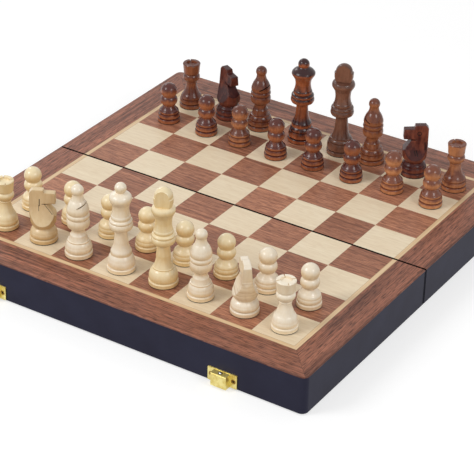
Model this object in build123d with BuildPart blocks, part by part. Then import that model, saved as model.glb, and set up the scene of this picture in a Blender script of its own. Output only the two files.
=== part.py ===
from build123d import *
import math
import os

# Folding chess box: two equal trays hinged together, with their men standing on the open board.
#
# Frame: +X along the ranks (file a to file h), +Y away from the front tray, +Z up, millimetres.
# The box lies open, cavities down. The origin is on the seam, half way along it, at the height
# of the underside of the hinge knuckles. Distances called "out" are measured from the seam plane
# along Y; side is -1 for the front tray and +1 for the back one.

os.makedirs("parts", exist_ok=True)

# ---- board and trays ----
SQUARE = 32.0
GLUE_LINE = 0.04            # between neighbouring squares
STRING_W = 3.5              # light line around the field
BORDER_SIDE = 21.5          # border beside files a and h
BORDER_END = 24.0           # border in front of rank 1 and behind rank 8
SEAM_GAP = 0.8
WALL = 7.0
TRAY_H = 27.5
CORNER_R = 4.5              # upright outer corners
VENEER = 0.8
PANEL_T = 4.0
REBATE = 3.5                # how far the panel is let into the rails
LINING_T = 1.0
LINING_PLAY = 0.2           # around the lining card inside its tray

# ---- butt hinges on the seam ----
KNUCKLE_R = 1.0
HINGE_PIN_R = 0.5
RUNNING = 0.05              # radial play of a turning knuckle
PRESSED = 0.01              # radial play of a knuckle that grips the pin
CLOSED_GAP = 0.3            # between the two rims when the box is shut
HINGE_X = 85.0
LEAF_L = 30.0
LEAF_OUT = 6.2
LEAF_T = 0.6
KNUCKLES = 5
KNUCKLE_ROOT = 0.8          # out from the pin, where a leaf runs into its knuckles
MORTISE_PLAY = 0.2          # around a leaf in its rail
CHANNEL_PLAY = 0.4          # around the knuckles in the rails
LEAF_SCREW_PITCH = 18.0
LEAF_SCREW_OUT = 4.0
LEAF_SCREW = (1.5, LEAF_T, 0.8, 5.5)    # head radius and depth, shank radius, length
MOVE_GAP = 0.3              # least gap between pieces that move past each other

# ---- snap catches (front tray) and hasps (back tray) ----
CATCH_X = 92.5
PLATE_W = 22.0
PLATE_H = 10.2
PLATE_T = 0.8
PLATE_CORNER_R = 0.6
PLATE_RISE = 0.2            # above the rim
PLATE_SCREW_PITCH = 16.8
PLATE_SCREW = (1.8, PLATE_T, 0.9, 6.0)  # head radius and depth, shank radius, length
BOX_W = 11.7
BOX_H = 9.6
BOX_OUT = 6.0               # how far the catch box stands off the wall
BOX_EDGE_R = 0.7
BALL_R = 1.1
BALL_SUNK = 0.4             # ball centre below the top of the catch box
BALL_OUT = 3.1
BORE_R = 1.16
BORE_DEPTH = 8.0
SPRING_R = 0.85
WIRE_R = 0.15
SPRING_TURNS = 6
HASP_PIN_OUT = 4.7
HASP_PIN_DROP = 0.3         # pin below the middle of its plate
HASP_PIN_R = 0.6
HASP_KNUCKLE_R = 1.3
HASP_KNUCKLE_W = 6.0
EAR_T = 1.2
STRAP_W = 11.0
STRAP_T = 0.8
STRAP_CRANK = 2.4           # down the strap, where it is clear of the knuckle
LIP_END_OUT = 1.5
LIP_HOLE_R = 0.9
LIP_GAP = 0.5               # lip to the end of the catch box when engaged
HASP_SWING = 186.8          # degrees from engaged to folded back against the wall

# ---- chessmen ----
FELT_T = 0.6
FELT_INSET = 0.2
BASE_R = {"king": 10.0, "queen": 9.7, "bishop": 9.1, "knight": 9.7, "rook": 8.9, "pawn": 8.5}
DARK_BASE_MORE = {"king": 0.3, "queen": 0.4, "bishop": 0.4, "rook": 0.2}    # how much wider
KERF = 0.8                  # width of a saw cut
CUT = 20.0                  # larger than any man, for cutting away
KING_HEAD_Z = 58.4          # from here up the head is sawn flat on two sides
KING_HEAD_HALF_T = {"light": 4.1, "dark": 2.9}
MITRE_X = 4.6               # middle of the bishop's saw cut
MITRE_Z = {"light": 38.2, "dark": 35.4}
MITRE_TILT = 25.0
ROOK_NOTCHES = 4
ROOK_NOTCH_W = 0.8
ROOK_NOTCH_Z = 35.2
ROOK_RIM_R = 5.2
EAR_TOP = {"light": 39.0, "dark": 39.8}
BACK_RANK = [("rook", "a"), ("knight", "b"), ("bishop", "c"), ("queen", "d"),
             ("king", "e"), ("bishop", "f"), ("knight", "g"), ("rook", "h")]
LARGER = {"c1": 1.05}       # a man turned larger than its pair
# Which way a man is turned about its own axis, in degrees; the turned men not named stand at 0.
TURN = {
    "b1": 32, "g1": 131, "b8": -28, "g8": 213,
    "c1": 25, "f1": 150, "c8": 20, "f8": 190,
    "e1": 20, "e8": 20,
}
# Where each man stands, in mm from the middle of its square.
OFF_CENTRE = {
    "a1": (-1.5, -2.0), "b1": (-1.5, -1.0), "c1": (-2.0, -3.5), "d1": (0.5, -2.5),
    "e1": (1.5, -1.0), "f1": (-1.0, -1.0), "g1": (0.5, 0.0), "h1": (0.0, -2.0),
    "a2": (-2.4, -1.7), "b2": (0.5, -2.0), "c2": (0.0, -2.0), "d2": (-1.0, -2.0),
    "e2": (-2.0, -2.5), "f2": (-2.0, -1.0), "g2": (-2.0, -0.5), "h2": (-1.3, -1.5),
    "a7": (0.5, 0.5), "b7": (3.1, -0.2), "c7": (0.5, 0.0), "d7": (1.5, -2.0),
    "e7": (0.0, 0.0), "f7": (0.5, 0.0), "g7": (1.0, 2.5), "h7": (1.5, 0.0),
    "a8": (0.5, -1.0), "b8": (2.0, 0.0), "c8": (-0.6, -1.4), "d8": (3.2, -0.6),
    "e8": (5.2, -0.6), "f8": (-1.0, 0.5), "g8": (1.5, 1.5), "h8": (4.0, -1.0),
}

# Derived sizes
HINGE_Z = KNUCKLE_R
RIM_Z = HINGE_Z + CLOSED_GAP / 2
TOP_Z = RIM_Z + TRAY_H
RAIL_TOP = TOP_Z - VENEER
PANEL_Z = RAIL_TOP - PANEL_T
LINING_Z = PANEL_Z - LINING_T
SEAM = SEAM_GAP / 2
HALF_W = 4 * SQUARE + STRING_W + BORDER_SIDE
FIELD_OUT = SEAM + 4 * SQUARE
STRING_OUT = FIELD_OUT + STRING_W
OUTER = STRING_OUT + BORDER_END
STRING_X = 4 * SQUARE + STRING_W
FRONT, BACK = -1, 1
HALF_NAME = {FRONT: "front", BACK: "back"}
PLATE_MID = RIM_Z + PLATE_RISE + PLATE_H / 2
BOX_TOP = PLATE_MID + BOX_H / 2
LATCHES = (-CATCH_X, CATCH_X)
HINGES = (-HINGE_X, HINGE_X)


def write_node(name, *pieces):
    """Write one node; several touching pieces stay separate solids of it."""
    parts = [piece.part for piece in pieces]
    node = parts[0] if len(parts) == 1 else Compound(children=parts)
    node.label = name
    export_step(node, f"parts/{name}.step")


def wall_plane(side, x, z, out=OUTER):
    """Plane on a tray's outer wall: local z points away from the wall, local y up."""
    return Plane(origin=(x, side * out, z), x_dir=(-side, 0, 0), z_dir=(0, side, 0))


# ---------------------------------------------------------------- countersunk screws
def make_screw(head_r, head_t, shank_r, length):
    """Countersunk screw, head face on XY, shank along -Z with a short point."""
    with BuildPart() as screw:
        with BuildSketch(Plane.XZ):
            with BuildLine():
                Polyline((0, 0), (head_r, 0), (shank_r, -head_t), (shank_r, shank_r - length),
                         (0, -length), close=True)
            make_face()
        revolve(axis=Axis.Z)
    return screw


leaf_screw = make_screw(*LEAF_SCREW)
plate_screw = make_screw(*PLATE_SCREW)


def leaf_screw_places(side):
    """Two screws through each hinge leaf, heads down."""
    return [Plane(origin=(hinge + along, side * LEAF_SCREW_OUT, RIM_Z), z_dir=(0, 0, -1))
            for hinge in HINGES for along in (-LEAF_SCREW_PITCH / 2, LEAF_SCREW_PITCH / 2)]


def plate_screw_places(side):
    """A screw on each side of every catch box or hasp, heads outward."""
    return [wall_plane(side, latch + along, PLATE_MID, OUTER + PLATE_T)
            for latch in LATCHES for along in (-PLATE_SCREW_PITCH / 2, PLATE_SCREW_PITCH / 2)]


# ---------------------------------------------------------------- trays
def tray_outline(side):
    """Plan of one tray, rounded at its two outer corners."""
    with BuildSketch() as outline:
        with Locations((0, side * (SEAM + OUTER) / 2)):
            Rectangle(2 * HALF_W, OUTER - SEAM)
        outer_corners = outline.vertices().sort_by(Axis.Y)
        fillet(outer_corners[:2] if side == FRONT else outer_corners[-2:], CORNER_R)
    return outline


def make_rail(side, outline, corners):
    """One mitred rail: rebated for the panel, mortised for hinge leaves, bored for screws."""
    with BuildPart() as rail:
        with BuildSketch(Plane.XY.offset(RIM_Z)):
            add(outline.sketch)
            with BuildLine():
                Polyline(*[(x, side * out) for x, out in corners], close=True)
            make_face(mode=Mode.INTERSECT)
        extrude(amount=RAIL_TOP - RIM_Z)
        with BuildSketch(Plane.XY.offset(PANEL_Z)):
            with Locations((0, side * (SEAM + OUTER) / 2)):
                Rectangle(2 * (HALF_W - WALL + REBATE), OUTER - SEAM - 2 * (WALL - REBATE))
        extrude(amount=PANEL_T, mode=Mode.SUBTRACT)
        with BuildSketch(Plane.XY.offset(RIM_Z)):
            with Locations(*[(hinge, side * (LEAF_OUT + MORTISE_PLAY) / 2) for hinge in HINGES]):
                Rectangle(LEAF_L + 2 * MORTISE_PLAY, LEAF_OUT + MORTISE_PLAY)
        extrude(amount=LEAF_T, mode=Mode.SUBTRACT)
        channel_r = KNUCKLE_R + CHANNEL_PLAY
        with BuildSketch(Plane.XY.offset(RIM_Z)):
            with Locations(*[(hinge, 0) for hinge in HINGES]):
                Rectangle(LEAF_L + 2 * MORTISE_PLAY, 2 * channel_r)
        extrude(amount=HINGE_Z + channel_r - RIM_Z, mode=Mode.SUBTRACT)
        with Locations(*leaf_screw_places(side)):
            add(leaf_screw.part, mode=Mode.SUBTRACT)
        with Locations(*plate_screw_places(side)):
            add(plate_screw.part, mode=Mode.SUBTRACT)
    return rail


def make_strips(side, outline, strips):
    """Mitred veneer strips, each given by its plan corners as (x, out)."""
    pieces = []
    for corners in strips:
        with BuildPart() as strip:
            with BuildSketch(Plane.XY.offset(RAIL_TOP)):
                add(outline.sketch)
                with BuildLine():
                    Polyline(*[(x, side * out) for x, out in corners], close=True)
                make_face(mode=Mode.INTERSECT)
            extrude(amount=VENEER)
        pieces.append(strip)
    return pieces


def square_centre(file, rank):
    """Centre of a square on the board, file and rank counted from 1."""
    side = FRONT if rank <= 4 else BACK
    return (file - 4.5) * SQUARE, (rank - 4.5) * SQUARE + side * SEAM


def make_squares(side, parity):
    """All squares of one colour on one half; a1 is dark and counts as parity 0."""
    ranks = range(1, 5) if side == FRONT else range(5, 9)
    with BuildPart() as squares:
        with BuildSketch(Plane.XY.offset(RAIL_TOP)):
            with Locations(*[square_centre(file, rank) for file in range(1, 9) for rank in ranks
                             if (file + rank) % 2 == parity]):
                Rectangle(SQUARE - GLUE_LINE, SQUARE - GLUE_LINE)
        extrude(amount=VENEER)
    return squares


for side in (FRONT, BACK):
    half = HALF_NAME[side]
    outline = tray_outline(side)
    in_x = HALF_W - WALL
    rails = [
        make_rail(side, outline, corners) for corners in (
            [(-HALF_W, OUTER), (HALF_W, OUTER), (in_x, OUTER - WALL), (-in_x, OUTER - WALL)],
            [(-HALF_W, SEAM), (HALF_W, SEAM), (in_x, SEAM + WALL), (-in_x, SEAM + WALL)],
            [(-HALF_W, SEAM), (-HALF_W, OUTER), (-in_x, OUTER - WALL), (-in_x, SEAM + WALL)],
            [(HALF_W, SEAM), (HALF_W, OUTER), (in_x, OUTER - WALL), (in_x, SEAM + WALL)],
        )
    ]
    write_node(f"{half}_rails", *rails)

    with BuildPart() as panel:
        with BuildSketch(Plane.XY.offset(PANEL_Z)):
            with Locations((0, side * (SEAM + OUTER) / 2)):
                Rectangle(2 * (HALF_W - WALL + REBATE), OUTER - SEAM - 2 * (WALL - REBATE))
        extrude(amount=PANEL_T)
    write_node(f"{half}_panel", panel)

    with BuildPart() as lining:
        with BuildSketch(Plane.XY.offset(LINING_Z)):
            with Locations((0, side * (SEAM + OUTER) / 2)):
                Rectangle(2 * (in_x - LINING_PLAY), OUTER - SEAM - 2 * (WALL + LINING_PLAY))
        extrude(amount=LINING_T)
    write_node(f"{half}_lining", lining)

    write_node(f"{half}_dark_squares", make_squares(side, 0))
    write_node(f"{half}_light_squares", make_squares(side, 1))

    field_x = 4 * SQUARE
    stringing = make_strips(side, outline, [
        [(-field_x, FIELD_OUT), (field_x, FIELD_OUT), (STRING_X, STRING_OUT), (-STRING_X, STRING_OUT)],
        [(-field_x, SEAM), (-field_x, FIELD_OUT), (-STRING_X, STRING_OUT), (-STRING_X, SEAM)],
        [(field_x, SEAM), (field_x, FIELD_OUT), (STRING_X, STRING_OUT), (STRING_X, SEAM)],
    ])
    write_node(f"{half}_stringing", *stringing)

    border = make_strips(side, outline, [
        [(-STRING_X, STRING_OUT), (STRING_X, STRING_OUT), (HALF_W, OUTER), (-HALF_W, OUTER)],
        [(-STRING_X, SEAM), (-STRING_X, STRING_OUT), (-HALF_W, OUTER), (-HALF_W, SEAM)],
        [(STRING_X, SEAM), (STRING_X, STRING_OUT), (HALF_W, OUTER), (HALF_W, SEAM)],
    ])
    write_node(f"{half}_border", *border)

    with BuildPart() as screws:
        with Locations(*leaf_screw_places(side)):
            add(leaf_screw.part)
        with Locations(*plate_screw_places(side)):
            add(plate_screw.part)
    write_node(f"{half}_screws", screws)


# ---------------------------------------------------------------- butt hinges
def make_leaves(side, own_knuckles, play):
    """Both leaves of one tray: a plate flush with the rim, rolled into its own knuckles."""
    pitch = LEAF_L / KNUCKLES
    width = pitch - MOVE_GAP
    knuckle_x = [(k - (KNUCKLES - 1) / 2) * pitch for k in own_knuckles]
    plate_in = KNUCKLE_R + MOVE_GAP
    with BuildPart() as leaves:
        with BuildSketch(Plane.XY.offset(RIM_Z)):
            with Locations(*[(hinge, side * (plate_in + LEAF_OUT) / 2) for hinge in HINGES]):
                Rectangle(LEAF_L, LEAF_OUT - plate_in)
            with Locations(*[(hinge + x, side * (plate_in + KNUCKLE_ROOT) / 2)
                             for hinge in HINGES for x in knuckle_x]):
                Rectangle(width, plate_in - KNUCKLE_ROOT)
        extrude(amount=LEAF_T)
        for hinge in HINGES:
            for x in knuckle_x:
                with BuildSketch(Plane(origin=(hinge + x - width / 2, 0, HINGE_Z), z_dir=(1, 0, 0))):
                    Circle(KNUCKLE_R)
                    Circle(HINGE_PIN_R + play, mode=Mode.SUBTRACT)
                extrude(amount=width)
        with Locations(*leaf_screw_places(side)):
            add(leaf_screw.part, mode=Mode.SUBTRACT)
    return leaves


write_node("hinge_leaves_front", make_leaves(FRONT, range(0, KNUCKLES, 2), PRESSED))
write_node("hinge_leaves_back", make_leaves(BACK, range(1, KNUCKLES, 2), RUNNING))

with BuildPart() as hinge_pins:
    for hinge in HINGES:
        with BuildSketch(Plane(origin=(hinge - LEAF_L / 2, 0, HINGE_Z), z_dir=(1, 0, 0))):
            Circle(HINGE_PIN_R)
        extrude(amount=LEAF_L)
write_node("hinge_pins", hinge_pins)


# ---------------------------------------------------------------- snap catches
with BuildPart() as catch_plates:
    for x in LATCHES:
        with BuildSketch(wall_plane(FRONT, x, PLATE_MID)):
            RectangleRounded(PLATE_W, PLATE_H, PLATE_CORNER_R)
        extrude(amount=PLATE_T)
        with BuildSketch(wall_plane(FRONT, x, PLATE_MID)):
            Rectangle(BOX_W, BOX_H)
        extrude(amount=BOX_OUT)
    upright = catch_plates.edges().filter_by(Axis.Z).sort_by(Axis.Y)[:4]
    lying = catch_plates.edges().filter_by(Axis.X).sort_by(Axis.Y)[:4]
    fillet(upright + lying, BOX_EDGE_R)
    for x in LATCHES:
        with BuildSketch(Plane((x, -OUTER - BALL_OUT, BOX_TOP))):
            Circle(BORE_R)
        extrude(amount=-BORE_DEPTH, mode=Mode.SUBTRACT)
    with Locations(*plate_screw_places(FRONT)):
        add(plate_screw.part, mode=Mode.SUBTRACT)
write_node("catch_plates", catch_plates)

for name, x in zip(("left", "right"), LATCHES):
    with BuildPart() as ball:
        with Locations((x, -OUTER - BALL_OUT, BOX_TOP - BALL_SUNK)):
            Sphere(BALL_R)
    write_node(f"catch_ball_{name}", ball)

    spring_z = BOX_TOP - BORE_DEPTH + WIRE_R
    spring_h = BORE_DEPTH - BALL_SUNK - BALL_R - 2 * WIRE_R
    seat = Plane((x, -OUTER - BALL_OUT, spring_z))
    with BuildPart() as spring:
        with BuildLine(seat) as coil:
            Helix(pitch=spring_h / SPRING_TURNS, height=spring_h, radius=SPRING_R)
        with BuildSketch(Plane(origin=coil.line @ 0, z_dir=coil.line % 0)):
            Circle(WIRE_R)
        sweep(path=coil.line, is_frenet=True)
    write_node(f"catch_spring_{name}", spring)


# ---------------------------------------------------------------- hasps
HASP_PIN_Z = PLATE_MID - HASP_PIN_DROP
# Shut, the far end of the catch box lies BOX_TOP below the hinge pin's level and the hasp pin above it.
REACH = HASP_PIN_Z + BOX_TOP - 2 * HINGE_Z + LIP_GAP

with BuildPart() as hasp_plates:
    for x in LATCHES:
        with BuildSketch(wall_plane(BACK, x, PLATE_MID)):
            RectangleRounded(PLATE_W, PLATE_H, PLATE_CORNER_R)
        extrude(amount=PLATE_T)
        for ear in (-1, 1):
            ear_x = x + ear * (HASP_KNUCKLE_W / 2 + MOVE_GAP + EAR_T / 2) - EAR_T / 2
            ear_side = Plane(origin=(ear_x, OUTER, HASP_PIN_Z), x_dir=(0, 1, 0), z_dir=(1, 0, 0))
            with BuildSketch(ear_side):
                with Locations((HASP_PIN_OUT / 2, 0)):
                    Rectangle(HASP_PIN_OUT, 2 * HASP_KNUCKLE_R)
                with Locations((HASP_PIN_OUT, 0)):
                    Circle(HASP_KNUCKLE_R)
                    Circle(HASP_PIN_R + PRESSED, mode=Mode.SUBTRACT)
            extrude(amount=EAR_T)
    with Locations(*plate_screw_places(BACK)):
        add(plate_screw.part, mode=Mode.SUBTRACT)
write_node("hasp_plates", hasp_plates)

with BuildPart() as hasp_pins:
    pin_l = HASP_KNUCKLE_W + 2 * (MOVE_GAP + EAR_T)
    for x in LATCHES:
        pin_end = (x - pin_l / 2, OUTER + HASP_PIN_OUT, HASP_PIN_Z)
        with BuildSketch(Plane(origin=pin_end, z_dir=(1, 0, 0))):
            Circle(HASP_PIN_R)
        extrude(amount=pin_l)
write_node("hasp_pins", hasp_pins)


def make_strap(x):
    """A cranked strap, drawn engaged (hanging over the catch box) in a frame turned to its rest."""
    swing = math.radians(HASP_SWING)
    # Local x points away from the wall and local y from the pin to the lip, before the swing.
    outward = Vector(0, math.cos(swing), math.sin(swing))
    along = Vector(0, math.sin(swing), -math.cos(swing))
    pin = Vector(x, OUTER + HASP_PIN_OUT, HASP_PIN_Z)
    frame = Plane(origin=pin, x_dir=outward, z_dir=outward.cross(along))
    inner = BOX_OUT + MOVE_GAP - HASP_PIN_OUT
    outer = inner + STRAP_T
    lip_end = LIP_END_OUT - HASP_PIN_OUT
    with BuildPart() as strap:
        with BuildSketch(frame):
            Circle(HASP_KNUCKLE_R)
            with BuildLine():
                Polyline((0.3, 0.9), (1.1, 0.4), (outer, STRAP_CRANK - 0.3), (outer, STRAP_CRANK + 0.5),
                         (inner, STRAP_CRANK + 0.5), close=True)
            make_face()
            Circle(HASP_PIN_R + RUNNING, mode=Mode.SUBTRACT)
        extrude(amount=HASP_KNUCKLE_W / 2, both=True)
        with BuildSketch(frame):
            with BuildLine():
                Polyline((inner, STRAP_CRANK), (outer, STRAP_CRANK), (outer, REACH + STRAP_T),
                         (lip_end, REACH + STRAP_T), (lip_end, REACH), (inner, REACH), close=True)
            make_face()
        extrude(amount=STRAP_W / 2, both=True)
        over_ball = frame.from_local_coords(Vector(BALL_OUT - HASP_PIN_OUT, REACH, 0))
        with BuildSketch(Plane(origin=over_ball, z_dir=along)):
            Circle(LIP_HOLE_R)
        extrude(amount=STRAP_T, mode=Mode.SUBTRACT)
    return strap


write_node("hasp_strap_left", make_strap(-CATCH_X))
write_node("hasp_strap_right", make_strap(CATCH_X))


# ---------------------------------------------------------------- chessmen
# Each outline is a list of steps up the man: (radius, height) for a straight line to that point,
# or (radius, height, swell) for an arc that swells outward by that much (inward if negative).
def cap_step(edge_r, edge_z, top_z):
    """Arc of a sphere centred on the axis, from a circular edge up to its top."""
    rise = top_z - edge_z
    sphere_r = (edge_r**2 + rise**2) / (2 * rise)
    return 0, top_z, sphere_r - math.sqrt(sphere_r**2 - (edge_r**2 + rise**2) / 4)


def ball_step(neck_r, centre_z, ball_r):
    """A ball that meets its neck."""
    neck_z = centre_z - math.sqrt(ball_r**2 - neck_r**2)
    return [(neck_r, neck_z), cap_step(neck_r, neck_z, centre_z + ball_r)]


def base_radius(kind, colour):
    return BASE_R[kind] + (DARK_BASE_MORE.get(kind, 0) if colour == "dark" else 0)


def base_steps(kind, colour):
    """Base disc, groove and swelling; the dark men have a second groove above the swelling."""
    base_r = base_radius(kind, colour)
    swell_in, swell_z, swell = BASE_SWELL[kind]
    swell_r = base_r - swell_in
    steps = [(0, FELT_T), (base_r, FELT_T), (base_r, 2.9), (base_r - 0.6, 3.5, 0.12), (base_r - 1.2, 3.7),
             (base_r - 0.4, 4.4), (swell_r, swell_z, swell)]
    if colour == "dark":
        steps += [(swell_r - 0.7, swell_z + 0.2), (swell_r - 0.3, swell_z + 0.7)]
    return steps


# Top of the base's swelling: how far inside the base's edge, height and swell.
BASE_SWELL = {
    "king": (1.0, 9.7, 0.35), "queen": (1.0, 8.8, 0.3), "bishop": (0.7, 7.6, 0.25),
    "rook": (0.7, 7.2, 0.2), "pawn": (0.75, 7.2, 0.25), "knight": (0.8, 7.4, 0.25),
}
STEPS = {
    ("king", "light"): [
        (7.1, 12.3, 0.2), (7.1, 13.0), (6.6, 13.3), (4.9, 22.0, -0.5), (4.5, 29.3, -0.1),
        (7.5, 31.6), (7.7, 35.5, 0.5), (7.4, 35.8), (7.1, 38.2, 0.55), (6.4, 38.6), (6.2, 41.2, 0.35),
        (5.6, 45.6, -0.1), (6.1, 50.6, -0.15), (7.2, 53.3), (7.4, 57.5, 0.65), (5.9, KING_HEAD_Z),
        (6.5, 61.2, 0.1), (6.7, 64.5), (6.1, 65.0), (6.1, 66.2), cap_step(6.1, 66.2, 72.0),
    ],
    ("king", "dark"): [
        (7.9, 12.3, 0.2), (7.9, 13.0), (7.2, 13.3), (5.0, 22.0, -0.5), (4.5, 29.3, -0.1),
        (8.0, 31.6), (8.2, 35.5, 0.55), (7.9, 35.8), (7.5, 38.2, 0.6), (6.6, 38.6), (6.3, 41.2, 0.4),
        (5.6, 45.6, -0.1), (6.2, 50.6, -0.15), (7.7, 53.3), (7.8, 57.7, 0.75), (5.9, KING_HEAD_Z),
        (7.0, 61.9, 0.15), (7.1, 65.2), (6.2, 65.7), (6.2, 66.5), cap_step(6.2, 66.5, 72.0),
    ],
    ("queen", "light"): [
        (7.1, 12.2, 0.2), (7.1, 13.0), (6.8, 15.3, 0.2), (4.9, 21.8, -0.4), (4.3, 30.0, -0.2),
        (7.5, 32.0), (7.7, 36.0, 0.5), (7.4, 36.3), (7.1, 38.7, 0.5), (6.5, 39.1), (6.2, 42.0, 0.35),
        (5.6, 46.4, -0.1), (5.9, 49.6, -0.1), (7.0, 51.9), (7.4, 55.0, 0.3), (5.6, 57.5, 0.3), (3.0, 58.5),
        *ball_step(3.0, 61.5, 4.0),
    ],
    ("queen", "dark"): [
        (7.5, 12.2, 0.2), (7.5, 13.0), (7.2, 15.3, 0.2), (5.0, 21.8, -0.4), (4.4, 30.0, -0.2),
        (8.1, 32.0), (8.3, 36.0, 0.6), (8.0, 36.3), (7.6, 38.7, 0.6), (6.8, 39.1), (6.5, 42.0, 0.4),
        (5.75, 46.4, -0.1), (6.3, 50.4, -0.15), (8.1, 53.6), (8.4, 56.6, 0.55), (6.3, 58.6, 0.15),
        (4.3, 60.0, -0.1), *ball_step(3.9, 62.35, 4.3),
    ],
    ("bishop", "light"): [
        (7.1, 10.6, 0.2), (7.1, 11.4), (6.4, 11.7), (5.3, 15.2, -0.1), (4.2, 17.6, -0.15), (4.2, 18.9),
        (6.9, 21.2), (7.1, 26.6, 0.55), (6.6, 26.9), (7.0, 27.4), (7.1, 30.3, 0.45), (6.6, 30.6),
        (7.0, 31.1), (6.8, 35.2, 0.35), (4.4, 40.0, 0.25), (3.5, 43.2, -0.12),
        *ball_step(3.4, 46.7, 4.15),
    ],
    ("bishop", "dark"): [
        (7.2, 11.2, 0.2), (7.2, 12.0), (6.5, 12.3), (5.6, 16.0, -0.1), (4.6, 18.8, -0.2), (4.6, 20.2),
        (7.0, 22.2), (7.1, 27.2, 0.55), (6.6, 27.5), (7.0, 28.0), (7.1, 30.8, 0.45), (6.6, 31.1),
        (7.0, 31.6), (6.8, 35.4, 0.35), (4.4, 40.2, 0.25), (3.5, 43.4, -0.12),
        *ball_step(3.4, 46.8, 4.15),
    ],
    "rook": [
        (6.9, 10.8, 0.2), (6.6, 11.2), (5.2, 14.4, -0.1), (4.2, 17.8, -0.1), (4.0, 19.6), (4.4, 20.4, 0.1),
        (4.2, 21.2), (5.4, 22.6, 0.1), (5.5, 27.4, 0.95), (5.4, 28.0), (6.1, 28.9, 0.15),
        (6.7, 35.8, -0.1), (6.3, 36.3),
        (3.9, 36.3), (3.6, 35.0), (0, 34.6),
    ],
    "pawn": [
        (6.8, 9.9, 0.3), (6.3, 10.2), (4.6, 12.9, -0.1), (4.4, 13.5), (5.0, 14.1), (5.1, 20.9, 1.4),
        *ball_step(5.0, 25.0, 6.15),
    ],
    "knight": [
        (7.0, 10.4, 0.3), (6.8, 11.0), (8.9, 16.6, 0.6), (9.4, 21.0), (9.4, 41.0), (0, 41.0),
    ],
}


def knight_side(ear_top):
    """Side view of the sawn knight, from mane (-) to muzzle (+), with the mouth as a saw cut."""
    return [(-10, 3), (10, 3), (10, 17.5), (8.6, 20.4), (3.2, 28.2), (-0.5, 28.4), (-0.5, 28.9), (3.5, 29.0),
            (8.8, 29.2), (8.8, 36.0), (8.4, 36.5), (1.2, 36.9), (0.6, ear_top - 0.2), (-7.0, ear_top),
            (-8.9, ear_top - 2.2), (-8.9, 27.0), (-10, 20)]


# Front view of the knight: half width and height at its crown, jaw, cheek and foot.
KNIGHT_CROWN, KNIGHT_JAW, KNIGHT_CHEEK, KNIGHT_FOOT = (2.3, 40.0), (3.4, 27.0), (5.0, 20.5), (9.8, 12.5)
KNIGHT_BASE_Z = 11.0        # the base below this stays round


def make_man(kind, colour):
    """The turned wooden body of one kind of man, standing on the origin."""
    steps = base_steps(kind, colour) + (STEPS.get(kind) or STEPS[kind, colour])
    with BuildPart() as man:
        with BuildSketch(Plane.XZ):
            with BuildLine():
                for here, there in zip(steps, steps[1:]):
                    if len(there) == 3:
                        SagittaArc(here[:2], there[:2], -there[2])
                    else:
                        Line(here[:2], there)
                Line(steps[-1][:2], steps[0])
            make_face()
        revolve(axis=Axis.Z)
        if kind == "king":
            for face, edge in ((-1, Align.MAX), (1, Align.MIN)):
                with BuildSketch(Plane.XY.offset(KING_HEAD_Z)):
                    with Locations((0, face * KING_HEAD_HALF_T[colour])):
                        Rectangle(CUT, CUT, align=(Align.CENTER, edge))
                extrude(amount=CUT, mode=Mode.SUBTRACT)
        if kind == "bishop":
            with BuildSketch(Plane.XZ):
                with Locations(Location((MITRE_X, MITRE_Z[colour]), MITRE_TILT)):
                    Rectangle(2 * MITRE_X, KERF)
            extrude(amount=CUT, both=True, mode=Mode.SUBTRACT)
        if kind == "rook":
            with BuildSketch(Plane.XY.offset(ROOK_NOTCH_Z)):
                with PolarLocations(ROOK_RIM_R, ROOK_NOTCHES, start_angle=45):
                    Rectangle(ROOK_RIM_R, ROOK_NOTCH_W)
            extrude(amount=CUT, mode=Mode.SUBTRACT)
        if kind == "knight":
            with BuildSketch(Plane.XZ):
                with BuildLine():
                    Polyline(*knight_side(EAR_TOP[colour]), close=True)
                make_face()
                Rectangle(2 * CUT, KNIGHT_BASE_Z, align=(Align.CENTER, Align.MIN))
            extrude(amount=CUT, both=True, mode=Mode.INTERSECT)
            with BuildSketch(Plane.YZ):
                with BuildLine():
                    Polyline((0, 0), (CUT, 0), KNIGHT_FOOT)
                    ThreePointArc(KNIGHT_FOOT, KNIGHT_CHEEK, KNIGHT_JAW)
                    Polyline(KNIGHT_JAW, KNIGHT_CROWN, (0, KNIGHT_CROWN[1]), (0, 0))
                make_face()
                mirror(about=Plane.YZ)
            extrude(amount=CUT, both=True, mode=Mode.INTERSECT)
    return man


def make_felt(kind, colour):
    """The felt disc glued under a man."""
    with BuildPart() as felt:
        with BuildSketch():
            Circle(base_radius(kind, colour) - FELT_INSET)
        extrude(amount=FELT_T)
    return felt


def place_man(name, kind, colour, file, rank):
    """Write one man with its felt, standing on its square."""
    square = "abcdefgh"[file - 1] + str(rank)
    x, y = square_centre(file, rank)
    dx, dy = OFF_CENTRE[square]
    turn = math.radians(TURN.get(square, 0))
    seat = Plane(origin=(x + dx, y + dy, TOP_Z), x_dir=(math.cos(turn), math.sin(turn), 0), z_dir=(0, 0, 1))
    placed = []
    for piece in (MEN[kind, colour], FELTS[kind, colour]):
        sized = scale(piece.part, by=LARGER.get(square, 1))
        with BuildPart() as man:
            with Locations(seat):
                add(sized)
        placed.append(man)
    write_node(name, *placed)


KINDS = [(kind, colour) for kind in BASE_R for colour in ("light", "dark")]
MEN = {key: make_man(*key) for key in KINDS}
FELTS = {key: make_felt(*key) for key in KINDS}

for colour, home_rank, pawn_rank in (("light", 1, 2), ("dark", 8, 7)):
    for file, (kind, letter) in enumerate(BACK_RANK, start=1):
        name = f"{colour}_{kind}" if kind in ("king", "queen") else f"{colour}_{kind}_{letter}"
        place_man(name, kind, colour, file, home_rank)
        place_man(f"{colour}_pawn_{letter}", "pawn", colour, file, pawn_rank)
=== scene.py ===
import math

import bmesh
import bpy
import numpy as np
from mathutils import Euler, Matrix, Vector


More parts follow.
